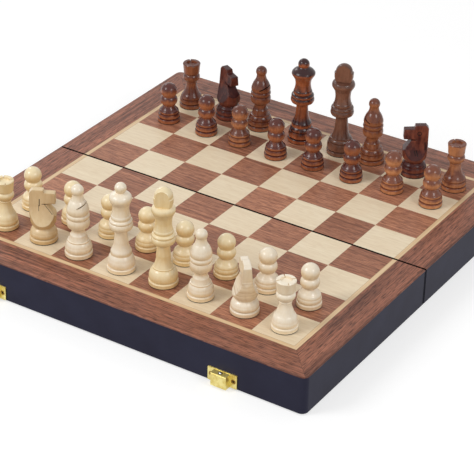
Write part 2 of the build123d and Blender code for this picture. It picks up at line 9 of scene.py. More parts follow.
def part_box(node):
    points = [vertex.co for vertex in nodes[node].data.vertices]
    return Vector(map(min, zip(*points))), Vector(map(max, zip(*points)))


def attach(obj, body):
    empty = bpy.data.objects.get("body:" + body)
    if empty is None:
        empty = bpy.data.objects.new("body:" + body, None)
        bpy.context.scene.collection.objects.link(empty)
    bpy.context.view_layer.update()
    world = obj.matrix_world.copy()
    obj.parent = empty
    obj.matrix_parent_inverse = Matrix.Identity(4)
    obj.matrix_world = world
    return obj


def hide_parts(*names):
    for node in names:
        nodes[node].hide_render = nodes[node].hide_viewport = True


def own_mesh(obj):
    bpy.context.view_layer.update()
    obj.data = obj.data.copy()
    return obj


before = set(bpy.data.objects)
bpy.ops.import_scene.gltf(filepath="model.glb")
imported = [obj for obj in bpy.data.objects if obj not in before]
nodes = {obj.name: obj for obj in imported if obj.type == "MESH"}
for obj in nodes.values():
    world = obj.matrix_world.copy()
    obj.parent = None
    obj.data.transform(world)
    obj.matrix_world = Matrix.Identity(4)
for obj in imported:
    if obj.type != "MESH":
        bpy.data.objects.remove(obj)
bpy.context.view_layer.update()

# ---- Camera, lamps and table ------------------------------------------------------------------
# A long lens looks down on the open board over its right-hand near corner. Three soft lamps
# and a pale world light it. The table looks white and keeps the shadow of what stands on it.
CAMERA_PLACE = (0.6473, -1.0277, 0.7226)
CAMERA_TURN = math.radians(32.09)
CAMERA_LOOK_DOWN = math.radians(30.67)
CAMERA_ROLL = math.radians(1.37)
LENS_MM = 150.5
SENSOR_MM = 36.0
LAMPS = {                       # place, width of the lamp in metres, watts
    "lamp_left": ((-0.75, -1.05, 1.05), 0.70, 11.5),
    "lamp_right": ((1.25, -0.35, 0.95), 0.50, 6.0),
    "lamp_far": ((-1.50, 0.80, 1.10), 0.60, 4.0),
}
WORLD_LIGHT = 0.50
WHITE = (1, 1, 1, 1)
TABLE_WIDTH = 8.0
TABLE_GREY = 0.45
TABLE_GLOW = 0.60               # added to what the camera sees of the table, so that it reads as white


def put(tree, kind, settings=None, **inputs):
    """A new node with its settings. An input goes by its socket's name, or by _ and its number. One
    that is a socket is linked, any other is set."""
    made = tree.nodes.new(kind)
    for key, value in (settings or {}).items():
        setattr(made, key, value)
    for key, value in inputs.items():
        socket = made.inputs[int(key[1:])] if key[1:].isdigit() else made.inputs[key.replace("_", " ")]
        if isinstance(value, bpy.types.NodeSocket):
            tree.links.new(value, socket)
        else:
            socket.default_value = value
    return made


def maths(tree, operation, *values):
    """A Math node of up to three values, and its result."""
    inputs = {f"_{number}": value for number, value in enumerate(values)}
    return put(tree, "ShaderNodeMath", {"operation": operation}, **inputs).outputs[0]


def times(tree, one, other):
    return maths(tree, "MULTIPLY", one, other)


def larger(tree, one, other):
    return maths(tree, "MAXIMUM", one, other)


def seen_directly(tree):
    """1 for rays from the camera and those mirrored or passed on by metal and glass, otherwise 0."""
    ray = put(tree, "ShaderNodeLightPath").outputs
    passed_on = larger(tree, ray["Is Glossy Ray"], ray["Is Transmission Ray"])
    return larger(tree, ray["Is Camera Ray"], passed_on)


def new_material(name):
    """An empty material, and its tree."""
    material = bpy.data.materials.new(name)
    material.use_nodes = True
    material.node_tree.nodes.clear()
    return material, material.node_tree


def finish_material(tree, **shader):
    """Ends a tree in one Principled shader."""
    skin = put(tree, "ShaderNodeBsdfPrincipled", **shader)
    put(tree, "ShaderNodeOutputMaterial", Surface=skin.outputs[0])


scene = bpy.context.scene
scene.view_settings.view_transform = "Standard"

camera_data = bpy.data.cameras.new("camera")
camera_data.lens = LENS_MM
camera_data.sensor_width = SENSOR_MM
camera = bpy.data.objects.new("camera", camera_data)
level = Euler((math.pi / 2 - CAMERA_LOOK_DOWN, 0, CAMERA_TURN)).to_matrix()
aim = level @ Matrix.Rotation(CAMERA_ROLL, 3, "Z")
camera.matrix_world = Matrix.Translation(CAMERA_PLACE) @ aim.to_4x4()
scene.collection.objects.link(camera)
scene.camera = camera

for name, (place, width, watts) in LAMPS.items():
    lamp_data = bpy.data.lights.new(name, "AREA")
    lamp_data.shape = "DISK"
    lamp_data.size = width
    lamp_data.energy = watts
    lamp = bpy.data.objects.new(name, lamp_data)
    lamp.location = place
    lamp.rotation_euler = (-Vector(place)).to_track_quat("-Z", "Y").to_euler()
    scene.collection.objects.link(lamp)

world = bpy.data.worlds.new("pale_room")
scene.world = world
world.use_nodes = True
tree = world.node_tree
tree.nodes.clear()
strength = put(tree, "ShaderNodeMapRange", Value=seen_directly(tree), To_Min=WORLD_LIGHT, To_Max=1.0)
sky = put(tree, "ShaderNodeBackground", Color=WHITE, Strength=strength.outputs[0])
put(tree, "ShaderNodeOutputWorld", Surface=sky.outputs[0])

white_table, tree = new_material("white_table")
finish_material(tree, Base_Color=(TABLE_GREY, TABLE_GREY, TABLE_GREY, 1), Roughness=0.9,
                Emission_Color=WHITE, Emission_Strength=times(tree, seen_directly(tree), TABLE_GLOW))
half_table = TABLE_WIDTH / 2
table_mesh = bpy.data.meshes.new("table")
table_mesh.from_pydata([(-half_table, -half_table, 0), (half_table, -half_table, 0),
                        (half_table, half_table, 0), (-half_table, half_table, 0)], [], [(0, 1, 2, 3)])
table_mesh.materials.append(white_table)
table = bpy.data.objects.new("table", table_mesh)
scene.collection.objects.link(table)

# Folded shut, the box stands on what was the board of its back half, so the table sinks with a
# marker that rides on that half. The marker lies at half the height of a tray.
MARKER_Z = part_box("back_border")[1].z / 2
marker = bpy.data.objects.new("table_marker", None)
marker.location = (0, 0, MARKER_Z)
scene.collection.objects.link(marker)
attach(marker, "back_half")
table.location = (0, 0, -MARKER_Z)
follow = table.constraints.new("COPY_LOCATION")
follow.target = marker
follow.use_x = follow.use_y = False
follow.use_offset = True

# ---- Rails --------------------------------------------------------------------------------------
# Each tray's frame is four hardwood rails, glued at the corners with their outer corners rounded.
# They are sprayed blue-black on the outside and on the rim, and left bare inside.
WALL_BLACK = ((49, 48, 63), (54, 54, 71))
WALL_WORN = (70, 62, 56)        # where the lacquer is rubbed thin on the rim
BARE_WOOD = ((196, 160, 116), (219, 187, 143))
RAIL_GRAIN = (30, 30, 700)
WALL_ROUGH = 0.17
BARE_ROUGH = 0.75
RIM_RUBBED = 0.0012             # the rim is rubbed up to this height
INNER_X = 0.1463                # just outside the inner faces of the rails
INNER_Y = (0.0072, 0.1492)
SEAM_HALF = 0.0004              # the halves lie this far from the middle of the open board
# Painted shade in the seam: the edges where the halves meet are darkened to black, for the gap between them.
SEAM_BLACK = (5, 5, 9)
SEAM_SHADE_REACH = 0.0008            # from the middle of the open board, on the veneers
WALL_SEAM_SHADE_REACH = 0.0014       # and on the walls
SEAM_SHADE_FADES = 0.0004            # past its reach
SEAM_SHADE_RAGGED = 0.0003
SEAM_SHADE_OFF_FACE = 0.00015        # the seam's painted shade on the walls begins this far from the faces that meet


def srgb(red, green, blue):
    """A written colour, 0 to 255, as Blender's linear numbers with alpha."""
    parts = [c / 255 for c in (red, green, blue)]
    return (*(c / 12.92 if c <= 0.04045 else ((c + 0.055) / 1.055) ** 2.4 for c in parts), 1)


def new_group(name, takes, gives):
    """A node group with named sockets, its input's outputs and its output node's inputs."""
    group = bpy.data.node_groups.new(name, "ShaderNodeTree")
    for socket, kind, start in takes:
        made = group.interface.new_socket(name=socket, in_out="INPUT", socket_type="NodeSocket" + kind)
        made.default_value = start
    for socket, kind in gives:
        group.interface.new_socket(name=socket, in_out="OUTPUT", socket_type="NodeSocket" + kind)
    return group, group.nodes.new("NodeGroupInput").outputs, group.nodes.new("NodeGroupOutput").inputs


def placed(tree, group, **inputs):
    """A group in a material, and its outputs."""
    return put(tree, "ShaderNodeGroup", {"node_tree": group}, **inputs).outputs


def place_on_object(tree):
    return put(tree, "ShaderNodeTexCoord").outputs["Object"]


def axes_of(tree, place):
    """X, Y and Z of a place."""
    return put(tree, "ShaderNodeSeparateXYZ", _0=place).outputs


def plus(tree, one, other):
    return maths(tree, "ADD", one, other)


def minus(tree, one, other):
    return maths(tree, "SUBTRACT", one, other)


def unsigned(tree, value):
    return maths(tree, "ABSOLUTE", value)


def spread(tree, value, low, high, to_low=0.0, to_high=1.0):
    """A value between low and high, spread over a new range and held within it."""
    return put(tree, "ShaderNodeMapRange", Value=value, From_Min=low, From_Max=high,
               To_Min=to_low, To_Max=to_high).outputs[0]


def vector_maths(tree, operation, one, other):
    return put(tree, "ShaderNodeVectorMath", {"operation": operation}, _0=one, _1=other).outputs[0]


def mixed(tree, share, one, other):
    """Two colours mixed by a share from 0 to 1."""
    return put(tree, "ShaderNodeMix", {"data_type": "RGBA"}, _0=share, _6=one, _7=other).outputs[2]


def toned(tree, share, tones):
    """Two written colours mixed by a share from 0 to 1."""
    return mixed(tree, share, srgb(*tones[0]), srgb(*tones[1]))


def touched(tree, colour, marks, share, written):
    """A colour with marks of a written colour over it. Marks is 1 where they are, and share says how
    far they cover it."""
    return mixed(tree, times(tree, marks, share), colour, srgb(*written))


def noise(tree, place, scale, detail=2.0, roughness=0.5, distortion=0.0):
    return put(tree, "ShaderNodeTexNoise", Vector=place, Scale=scale, Detail=detail, Roughness=roughness,
               Distortion=distortion).outputs[0]


def bumped(tree, height, strength, distance):
    return put(tree, "ShaderNodeBump", Height=height, Strength=strength, Distance=distance).outputs[0]


def dress(material, *names):
    """Gives built nodes their material."""
    for name in names:
        nodes[name].data.materials[0] = material


# Wood figure. Stretch is how often the figure repeats per metre along each axis, least along the
# grain. Streaks are the growth bands, Fibres the fine lines, Dashes the open vessels and Pores the
# smallest of them. Dashes are cut short, so they repeat more often in every direction.
DASH_STRETCH = (3.2, 3.2, 3.2)
DASH_REPEATS = (90.0, 90.0, 90.0)
wood_figure, takes, gives = new_group(
    "wood_figure", [(name, "Vector", start) for name, start in
                    (("Place", (0, 0, 0)), ("Shift", (0, 0, 0)), ("Stretch", (1, 1, 1)))],
    [(name, "Float") for name in ("Streaks", "Fibres", "Dashes", "Pores")])
moved = vector_maths(wood_figure, "ADD", takes["Place"], takes["Shift"])
drawn = vector_maths(wood_figure, "MULTIPLY", moved, takes["Stretch"])
cut_short = vector_maths(wood_figure, "ADD", vector_maths(wood_figure, "MULTIPLY", drawn, DASH_STRETCH),
                         vector_maths(wood_figure, "MULTIPLY", moved, DASH_REPEATS))
for socket, value in (
        ("Streaks", spread(wood_figure, noise(wood_figure, drawn, 1.0, 3.0, 0.55, 0.7), 0.25, 0.75)),
        ("Fibres", spread(wood_figure, noise(wood_figure, drawn, 5.0, 2.0, 0.6, 0.1), 0.25, 0.75)),
        ("Dashes", spread(wood_figure, noise(wood_figure, cut_short, 1.0, 1.0, 0.5), 0.50, 0.62)),
        ("Pores", spread(wood_figure, noise(wood_figure, drawn, 9.0, 1.0, 0.5), 0.60, 0.72))):
    wood_figure.links.new(value, gives[socket])

# Inside is 1 where a point lies within the tray, on the inner faces of its rails or under its floor.
inside_tray, takes, gives = new_group("inside_tray", [("Place", "Vector", (0, 0, 0))], [("Inside", "Float")])
axes = axes_of(inside_tray, takes["Place"])
across = maths(inside_tray, "LESS_THAN", unsigned(inside_tray, axes[0]), INNER_X)
along = unsigned(inside_tray, axes[1])
between = times(inside_tray, maths(inside_tray, "GREATER_THAN", along, INNER_Y[0]),
                maths(inside_tray, "LESS_THAN", along, INNER_Y[1]))
inside_tray.links.new(times(inside_tray, across, between), gives["Inside"])

# Where the two halves meet, painted shade for the gap between them darkens the wood's edges to black, up to
# Reach from the middle.
seam_stain, takes, gives = new_group(
    "seam_stain", [("Place", "Vector", (0, 0, 0)), ("Reach", "Float", SEAM_SHADE_REACH)], [("Stain", "Float")])
ragged = times(seam_stain, noise(seam_stain, takes["Place"], 500.0), SEAM_SHADE_RAGGED)
from_seam = plus(seam_stain, unsigned(seam_stain, axes_of(seam_stain, takes["Place"])[1]), ragged)
shade_ends = plus(seam_stain, takes["Reach"], SEAM_SHADE_FADES)
seam_stain.links.new(spread(seam_stain, from_seam, takes["Reach"], shade_ends, 1.0, 0.0), gives["Stain"])


def darkened(tree, place, colour, rough, reach=SEAM_SHADE_REACH, allowed=1.0):
    """A colour and a roughness with the seam's painted shade over them, where it is allowed. The painted
    shade is as dull as soot: it is drawn as a rough black metal, which shines nowhere."""
    seam_shade_share = times(tree, placed(tree, seam_stain, Place=place, Reach=reach)["Stain"], allowed)
    return {"Base_Color": mixed(tree, seam_shade_share, colour, srgb(*SEAM_BLACK)), "Metallic": seam_shade_share,
            "Roughness": larger(tree, rough, times(tree, seam_shade_share, 0.9))}


wall_lacquer, tree = new_material("wall_lacquer")
place = place_on_object(tree)
axes = axes_of(tree, place)
figure = placed(tree, wood_figure, Place=place, Stretch=RAIL_GRAIN)
clouds = noise(tree, place, 40.0, 3.0)
black = toned(tree, spread(tree, clouds, 0.3, 0.7), WALL_BLACK)
rubbed = times(tree, maths(tree, "LESS_THAN", axes[2], RIM_RUBBED),
               spread(tree, noise(tree, place, 180.0, 4.0), 0.55, 0.68))
black = touched(tree, black, rubbed, 0.5, WALL_WORN)
inside = placed(tree, inside_tray, Place=place)["Inside"]
colour = mixed(tree, inside, black, toned(tree, figure["Streaks"], BARE_WOOD))
rough = plus(tree, spread(tree, inside, 0.0, 1.0, WALL_ROUGH, BARE_ROUGH),
             spread(tree, clouds, 0.3, 0.7, -0.03, 0.04))
# The seam's painted shade stays off the faces that meet when the board is open.
off_face = maths(tree, "GREATER_THAN", unsigned(tree, axes[1]), SEAM_HALF + SEAM_SHADE_OFF_FACE)
specks = spread(tree, noise(tree, place, 900.0, 1.0), 0.3, 0.7)
relief = plus(tree, times(tree, figure["Fibres"], 0.5), specks)
finish_material(tree, **darkened(tree, place, colour, rough, WALL_SEAM_SHADE_REACH, off_face),
                Normal=bumped(tree, relief, 0.05, 0.00008), IOR=1.12)
dress(wall_lacquer, "front_rails", "back_rails")

# ---- Strip in the seam --------------------------------------------------------------------------
# A thin black lacquered strip on the front half's meeting face fills the joint of the open board
# to a hair, so that no light comes through: a dark piece put in for the shade in the joint. The back half
# folds away from it.
STRIP_Y = (-0.00043, 0.00035)
STRIP_Z = (0.0024, 0.0278)      # from above the hinges' leaves to just under the veneer
STRIP_REACH = 0.1528            # along X, each way from the middle
STRIP_ROUND = 0.00012
STRIP_SIDES = 16


def tube_faces(rings, around):
    """The faces of a tube whose points are rings, one after another, of as many points each: the
    quads between each ring and the next, and a face over each end."""
    index = np.arange(rings * around).reshape(rings, around)
    ahead = np.roll(index, -1, 1)
    quads = np.stack([index[:-1], index[1:], ahead[1:], ahead[:-1]], -1).reshape(-1, 4)
    return quads.tolist() + [index[0].tolist(), index[-1, ::-1].tolist()]


def new_piece(name, points, faces, material, body, slot):
    """A mesh object of this name at the origin, with its faces turned outwards, riding on a body."""
    mesh = bpy.data.meshes.new(name)
    mesh.from_pydata(points.tolist(), [], faces)
    mesh.materials.append(material)
    sorted_faces = bmesh.new()
    sorted_faces.from_mesh(mesh)
    bmesh.ops.recalc_face_normals(sorted_faces, faces=sorted_faces.faces)
    sorted_faces.to_mesh(mesh)
    sorted_faces.free()
    piece = bpy.data.objects.new(name, mesh)
    scene.collection.objects.link(piece)
    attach(piece, body)
    return piece


def seam_strip():
    """A rectangle in Y and Z with rounded corners, carried straight along X. A point of its outline
    is the middle of its corner's rounding + STRIP_ROUND * (cos a, sin a), for a all the way round."""
    a = (np.arange(STRIP_SIDES) + 0.5) * 2 * math.pi / STRIP_SIDES
    across, up = [np.mean(ends) + np.sign(way) * (np.ptp(ends) / 2 - STRIP_ROUND) + STRIP_ROUND * way
                  for ends, way in ((STRIP_Y, np.cos(a)), (STRIP_Z, np.sin(a)))]
    outlines = [np.stack([np.full(STRIP_SIDES, x), across, up], 1) for x in (-STRIP_REACH, STRIP_REACH)]
    return np.concatenate(outlines), tube_faces(2, STRIP_SIDES)


new_piece("seam_strip", *seam_strip(), wall_lacquer, "front_half", "wall_lacquer")

# ---- Floors of the trays ------------------------------------------------------------------------
# Each board half is a sheet of plywood let into the tops of the rails. Inside the tray it is
# covered with dark green felt on card, glued in.
PLY_TONES = ((176, 134, 90), (207, 168, 121))
PLY_PORE = (120, 84, 52)
PLY_GRAIN = (9, 260, 260)
FELT_TONES = ((16, 42, 28), (32, 66, 44))

plywood, tree = new_material("plywood")
figure = placed(tree, wood_figure, Place=place_on_object(tree), Stretch=PLY_GRAIN)
colour = touched(tree, toned(tree, figure["Streaks"], PLY_TONES), figure["Pores"], 0.5, PLY_PORE)
finish_material(tree, Base_Color=colour, Roughness=spread(tree, figure["Fibres"], 0, 1, 0.6, 0.8),
                Normal=bumped(tree, figure["Fibres"], 0.2, 0.0002))

# Felt is matted fibre: fine curled hairs over soft lumps. Hairs are thin bright lines of noise.
felt_fibres, takes, gives = new_group("felt_fibres", [("Place", "Vector", (0, 0, 0))],
                                      [("Hairs", "Float"), ("Height", "Float")])
lumps = noise(felt_fibres, takes["Place"], 350.0, 3.0)
hairs = spread(felt_fibres, noise(felt_fibres, takes["Place"], 1600.0, 4.0, 0.7, 1.5), 0.35, 0.7)
felt_fibres.links.new(times(felt_fibres, hairs, lumps), gives["Hairs"])
felt_fibres.links.new(plus(felt_fibres, hairs, lumps), gives["Height"])

lining_felt, tree = new_material("lining_felt")
felt = placed(tree, felt_fibres, Place=place_on_object(tree))
finish_material(tree, Base_Color=toned(tree, felt["Hairs"], FELT_TONES), Roughness=0.95,
                Normal=bumped(tree, felt["Height"], 0.6, 0.0003), Sheen_Weight=0.3, Sheen_Roughness=0.5)
dress(plywood, "front_panel", "back_panel")
dress(lining_felt, "front_lining", "back_lining")

# ---- Squares ------------------------------------------------------------------------------------
# The playing field is veneer: strips of walnut and maple are taped together, cut across, shifted
# by a square and glued down, so the grain of every square runs the same way, along the seam.
SQUARE = 0.032
WALNUT = ((72, 28, 14), (219, 153, 118))
WALNUT_VESSEL = (92, 44, 34)
WALNUT_PORE = (64, 32, 26)
WALNUT_GRAIN = (16, 500, 500)
MAPLE = ((221, 200, 168), (238, 222, 193))
MAPLE_BLUSH = (226, 194, 160)
MAPLE_VESSEL = (196, 164, 124)
MAPLE_GRAIN = (14, 260, 260)
VENEER_BUMP = 0.00012

# Each square has its own piece of veneer: Shift takes it to another place in the wood, and Tone
# says how light it is. The board's two halves lie a seam's half width from the middle.
own_square, takes, gives = new_group("own_square", [("Place", "Vector", (0, 0, 0))],
                                     [("Shift", "Color"), ("Tone", "Float")])
axes = axes_of(own_square, takes["Place"])
in_half = minus(own_square, axes[1], times(own_square, maths(own_square, "SIGN", axes[1]), SEAM_HALF))
column, row = [maths(own_square, "FLOOR", maths(own_square, "DIVIDE", value, SQUARE))
               for value in (axes[0], in_half)]
cell = put(own_square, "ShaderNodeCombineXYZ", _0=column, _1=row).outputs[0]
lot = put(own_square, "ShaderNodeTexWhiteNoise", {"noise_dimensions": "2D"}, Vector=cell).outputs
own_square.links.new(lot["Color"], gives["Shift"])
own_square.links.new(lot["Value"], gives["Tone"])


def weighed(tree, *parts):
    """The sum of values, each times its share."""
    total, *others = [times(tree, value, share) for value, share in parts]
    for part in others:
        total = plus(tree, total, part)
    return total


square_walnut, tree = new_material("square_walnut")
place = place_on_object(tree)
own = placed(tree, own_square, Place=place)
figure = placed(tree, wood_figure, Place=place, Shift=own["Shift"], Stretch=WALNUT_GRAIN)
tone = weighed(tree, (figure["Streaks"], 0.5), (figure["Fibres"], 0.25), (own["Tone"], 0.25))
colour = touched(tree, toned(tree, tone, WALNUT), figure["Dashes"], 0.6, WALNUT_VESSEL)
colour = touched(tree, colour, figure["Pores"], 0.5, WALNUT_PORE)
rough = spread(tree, figure["Fibres"], 0, 1, 0.40, 0.50)
relief = minus(tree, figure["Fibres"], figure["Dashes"])
finish_material(tree, **darkened(tree, place, colour, rough),
                Normal=bumped(tree, relief, 0.25, VENEER_BUMP), Specular_IOR_Level=0.35)
dress(square_walnut, "front_dark_squares", "back_dark_squares")

square_maple, tree = new_material("square_maple")
place = place_on_object(tree)
own = placed(tree, own_square, Place=place)
figure = placed(tree, wood_figure, Place=place, Shift=own["Shift"], Stretch=MAPLE_GRAIN)
colour = toned(tree, weighed(tree, (figure["Streaks"], 0.7), (own["Tone"], 0.3)), MAPLE)
blush = spread(tree, noise(tree, vector_maths(tree, "ADD", place, own["Shift"]), 45.0), 0.55, 0.8)
colour = touched(tree, colour, blush, 0.3, MAPLE_BLUSH)
colour = touched(tree, colour, figure["Dashes"], 0.16, MAPLE_VESSEL)
rough = spread(tree, figure["Fibres"], 0, 1, 0.38, 0.46)
finish_material(tree, **darkened(tree, place, colour, rough),
                Normal=bumped(tree, figure["Fibres"], 0.06, 0.0001))
dress(square_maple, "front_light_squares", "back_light_squares")

# ---- Stringing ----------------------------------------------------------------------------------
# A band of pale honey veneer, three and a half millimetres wide, frames the playing field. It
# is glued down between the squares and the border, with its grain along it.
HONEY = ((206, 172, 128), (230, 202, 162))
GLUE_BROWN = (122, 82, 56)
FIELD_CORNER = np.array([4 * SQUARE, 4 * SQUARE + SEAM_HALF])
STRINGING_WIDTH = 0.0035
GLUE_SHOWS = (0.0014, 0.00172)      # from the middle of the band: not at all, and fully
SIDE_GRAIN = (500, 16, 500)


def beyond(tree, place, corner):
    """How far a place lies outside a corner along X and along Y, in every quarter of the board."""
    axes = axes_of(tree, place)
    return [minus(tree, unsigned(tree, axes[i]), float(corner[i])) for i in (0, 1)]


stringing, tree = new_material("stringing")
place = place_on_object(tree)
end_figure, side_figure = [placed(tree, wood_figure, Place=place, Stretch=grain)
                           for grain in (WALNUT_GRAIN, SIDE_GRAIN)]
out_x, out_y = beyond(tree, place, FIELD_CORNER)
on_side = maths(tree, "GREATER_THAN", out_x, 0.0)
streaks = mixed(tree, on_side, end_figure["Streaks"], side_figure["Streaks"])
# A thin glue line shows against the squares on its inside and the border on its outside.
off_middle = unsigned(tree, larger(tree, *beyond(tree, place, FIELD_CORNER + STRINGING_WIDTH / 2)))
colour = touched(tree, toned(tree, streaks, HONEY), spread(tree, off_middle, *GLUE_SHOWS), 0.7, GLUE_BROWN)
rough = spread(tree, streaks, 0, 1, 0.38, 0.46)
finish_material(tree, **darkened(tree, place, colour, rough))
dress(stringing, "front_stringing", "back_stringing")

# ---- Border -------------------------------------------------------------------------------------
# Walnut veneer strips, mitred at the corners, cover the rails' tops outside the stringing. Their
# grain runs along each strip. They are lacquered, and their outer edge is rubbed round and darker.
BORDER_WALNUT = ((50, 19, 11), (194, 127, 100))
BORDER_VESSEL = (48, 18, 10)
BORDER_PORE = (54, 24, 18)
BORDER_EDGE = (84, 44, 34)
EDGE_RUBBED = (0.0002, 0.0007)                  # in from the edge: all rubbed, and not at all
MITRE_GLUE = (62, 30, 22)
MITRE_GLUE_REACH = 0.0004                       # along Y, on each side of the mitre
BORDER_GRAIN = (10, 540, 1)
BAND_GRAIN = (5, 110, 1)                        # of the broad bands under the fine grain
BAND_SHIFT = (0.7, 0.2, 0)
SIDE_GRAIN_SHIFT = (0.5, 0.3)                   # takes the side strips to other wood than the end's
STRING_CORNER = FIELD_CORNER + STRINGING_WIDTH  # where the mitre starts
BOARD_CORNER = np.array([0.153, 0.1559])
CORNER_RADIUS = 0.0045
CORNER_CENTRE = BOARD_CORNER - CORNER_RADIUS
VENEER = (0.02785, 0.02865)                     # underside and top of the veneer
EDGE_ROUND = 0.0007
EDGE_POINTS = 8
ARC_POINTS = 6                                  # on each half of a rounded corner
SIDE_POINTS = 12
END_POINTS = 24
INNER_EDGE = 0.02                               # stands for any distance that is far from the outer edge


def edge_profile():
    """Section of a strip at its outer edge, as the distance in from the edge and the height: the
    foot of the edge, then a quarter circle of EDGE_ROUND, from upright to level with the top."""
    turn = np.linspace(0, math.pi / 2, EDGE_POINTS)
    inward = EDGE_ROUND * (1 - np.cos(turn))
    height = VENEER[1] - EDGE_ROUND * (1 - np.sin(turn))
    return np.append(0.0, inward), np.append(VENEER[0], height)


def mitre_end():
    """Where the mitre line meets the rounded outer corner: the far root t of
    |start + t * slope - centre| = radius."""
    slope = (BOARD_CORNER - STRING_CORNER) / np.linalg.norm(BOARD_CORNER - STRING_CORNER)
    back = STRING_CORNER - CORNER_CENTRE
    along = back @ slope
    return STRING_CORNER + slope * (-along + math.sqrt(along ** 2 - back @ back + CORNER_RADIUS ** 2))


def corner_arc(start, stop):
    """Points on the rounded outer corner: its centre + radius * (cos a, sin a), for a from start to
    stop."""
    a = np.linspace(start, stop, ARC_POINTS)
    return CORNER_CENTRE + CORNER_RADIUS * np.stack([np.cos(a), np.sin(a)], 1)


def side_by_side(x, y):
    """Points from their X and Y, one of which may be a single number for all."""
    return np.stack(np.broadcast_arrays(x, y), 1)


def border_lines(side):
    """Inner and outer lines of the three strips of one half: right side, end and left side. The
    outer line of a side runs straight, then round the corner to the tip of the mitre. A point of
    the inner line is as far along it, as a share, as the outer point that it faces."""
    tip = mitre_end()
    tip_angle = math.atan2(*(tip - CORNER_CENTRE)[::-1])
    straight = np.linspace(SEAM_HALF, CORNER_CENTRE[1], SIDE_POINTS)
    side_outer = np.vstack([side_by_side(BOARD_CORNER[0], straight), corner_arc(0, tip_angle)[1:]])
    share = (side_outer[:, 1] - SEAM_HALF) / (tip[1] - SEAM_HALF)
    side_inner = side_by_side(STRING_CORNER[0], SEAM_HALF + share * (STRING_CORNER[1] - SEAM_HALF))
    arc = corner_arc(tip_angle, math.pi / 2)
    middle = np.linspace(CORNER_CENTRE[0], -CORNER_CENTRE[0], END_POINTS)[1:-1]
    end_outer = np.vstack([arc, side_by_side(middle, BOARD_CORNER[1]), arc[::-1] * (-1, 1)])
    end_inner = side_by_side(end_outer[:, 0] / tip[0] * STRING_CORNER[0], STRING_CORNER[1])
    strips = ((side_inner, side_outer, 1), (end_inner, end_outer, 1), (side_inner, side_outer, -1))
    return [(inner * (hand, side), outer * (hand, side)) for inner, outer, hand in strips]


def swept_strip(inner, outer):
    """A closed strip: the section is carried along the outer line, and each of its points lies at
    its own distance along the line from the outer to the inner edge. Returns its points and faces,
    and how far each point is from the outer edge."""
    inward, height = edge_profile()
    across = inner - outer
    across /= np.linalg.norm(across, axis=1, keepdims=True)
    rows = outer[:, None] + across[:, None] * inward[None, :, None]
    rows = np.concatenate([rows, inner[:, None], inner[:, None]], 1)
    levels = np.concatenate([height, VENEER[::-1]])
    points = np.concatenate([rows, np.broadcast_to(levels[None, :, None], rows.shape[:2] + (1,))], 2)
    from_edge = np.tile(np.append(inward, (INNER_EDGE, INNER_EDGE)), len(outer))
    return points.reshape(-1, 3), tube_faces(*points.shape[:2]), from_edge


def joined(parts):
    """Several meshes as one: points, faces, the parts' own numbers for their points, and where each
    part's points start."""
    all_points, all_faces, all_numbers = zip(*parts)
    starts = np.cumsum([0, *map(len, all_points)]).tolist()
    faces = [[start + corner for corner in face] for start, own in zip(starts, all_faces) for face in own]
    return np.concatenate(all_points), faces, np.concatenate(all_numbers), starts


def keep_numbers(piece, name, numbers):
    """Gives each point of a piece a number, for its material to read."""
    numbers = numbers.astype(np.float32)
    piece.data.attributes.new(name, "FLOAT", "POINT").data.foreach_set("value", numbers)


def smoothed(piece, sharp_degrees):
    """Shades a piece smooth, apart from edges sharper than this."""
    piece.data.polygons.foreach_set("use_smooth", np.ones(len(piece.data.polygons), bool))
    piece.data.set_sharp_from_angle(angle=math.radians(sharp_degrees))


border_walnut, tree = new_material("border_walnut")
place = place_on_object(tree)
grain_map = put(tree, "ShaderNodeUVMap", {"uv_map": "grain"}).outputs[0]
figure = placed(tree, wood_figure, Place=grain_map, Stretch=BORDER_GRAIN)
bands = placed(tree, wood_figure, Place=grain_map, Shift=BAND_SHIFT, Stretch=BAND_GRAIN)
tone = weighed(tree, (figure["Streaks"], 0.5), (bands["Streaks"], 0.36), (figure["Fibres"], 0.22))
colour = toned(tree, spread(tree, tone, 0.17, 0.92), BORDER_WALNUT)
colour = touched(tree, colour, figure["Dashes"], 0.7, BORDER_VESSEL)
colour = touched(tree, colour, figure["Pores"], 0.5, BORDER_PORE)
# A glue line shows in the mitre, which slants from the stringing's corner to the board's.
out_x, out_y = beyond(tree, place, STRING_CORNER)
mitre_run = BOARD_CORNER - STRING_CORNER
off_mitre = unsigned(tree, minus(tree, times(tree, out_x, float(mitre_run[1] / mitre_run[0])), out_y))
in_mitre = times(tree, spread(tree, off_mitre, 0.0, MITRE_GLUE_REACH, 1.0, 0.0),
                 maths(tree, "GREATER_THAN", out_x, 0.0))
colour = touched(tree, colour, in_mitre, 0.6, MITRE_GLUE)
from_edge = put(tree, "ShaderNodeAttribute", {"attribute_name": "from_edge"}).outputs["Fac"]
rubbed = times(tree, spread(tree, from_edge, *EDGE_RUBBED, 1.0, 0.0),
               spread(tree, noise(tree, place, 220.0, 3.0), 0.35, 0.6, 0.4, 1.0))
colour = touched(tree, colour, rubbed, 0.75, BORDER_EDGE)
rough = spread(tree, figure["Fibres"], 0, 1, 0.36, 0.46)
relief = minus(tree, figure["Fibres"], figure["Dashes"])
finish_material(tree, **darkened(tree, place, colour, rough),
                Normal=bumped(tree, relief, 0.35, VENEER_BUMP), Specular_IOR_Level=0.28)

for half, side in (("front", -1), ("back", 1)):
    points, faces, from_edge, starts = joined([swept_strip(*lines) for lines in border_lines(side)])
    border = new_piece(half + "_border_strips", points, faces, border_walnut, half + "_half", "dark_veneer")
    smoothed(border, 35)
    keep_numbers(border, "from_edge", from_edge)
    # Along the grain is Y on the two side strips and X on the end strip.
    on_end = np.zeros(len(points), bool)
    on_end[starts[1]:starts[2]] = True
    grain = np.where(on_end[:, None], points[:, :2], points[:, 1::-1] + SIDE_GRAIN_SHIFT)
    corners = np.empty(len(border.data.loops), np.int32)
    border.data.loops.foreach_get("vertex_index", corners)
    border.data.uv_layers.new(name="grain").data.foreach_set("uv", grain[corners].astype(np.float32).ravel())
    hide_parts(half + "_border")

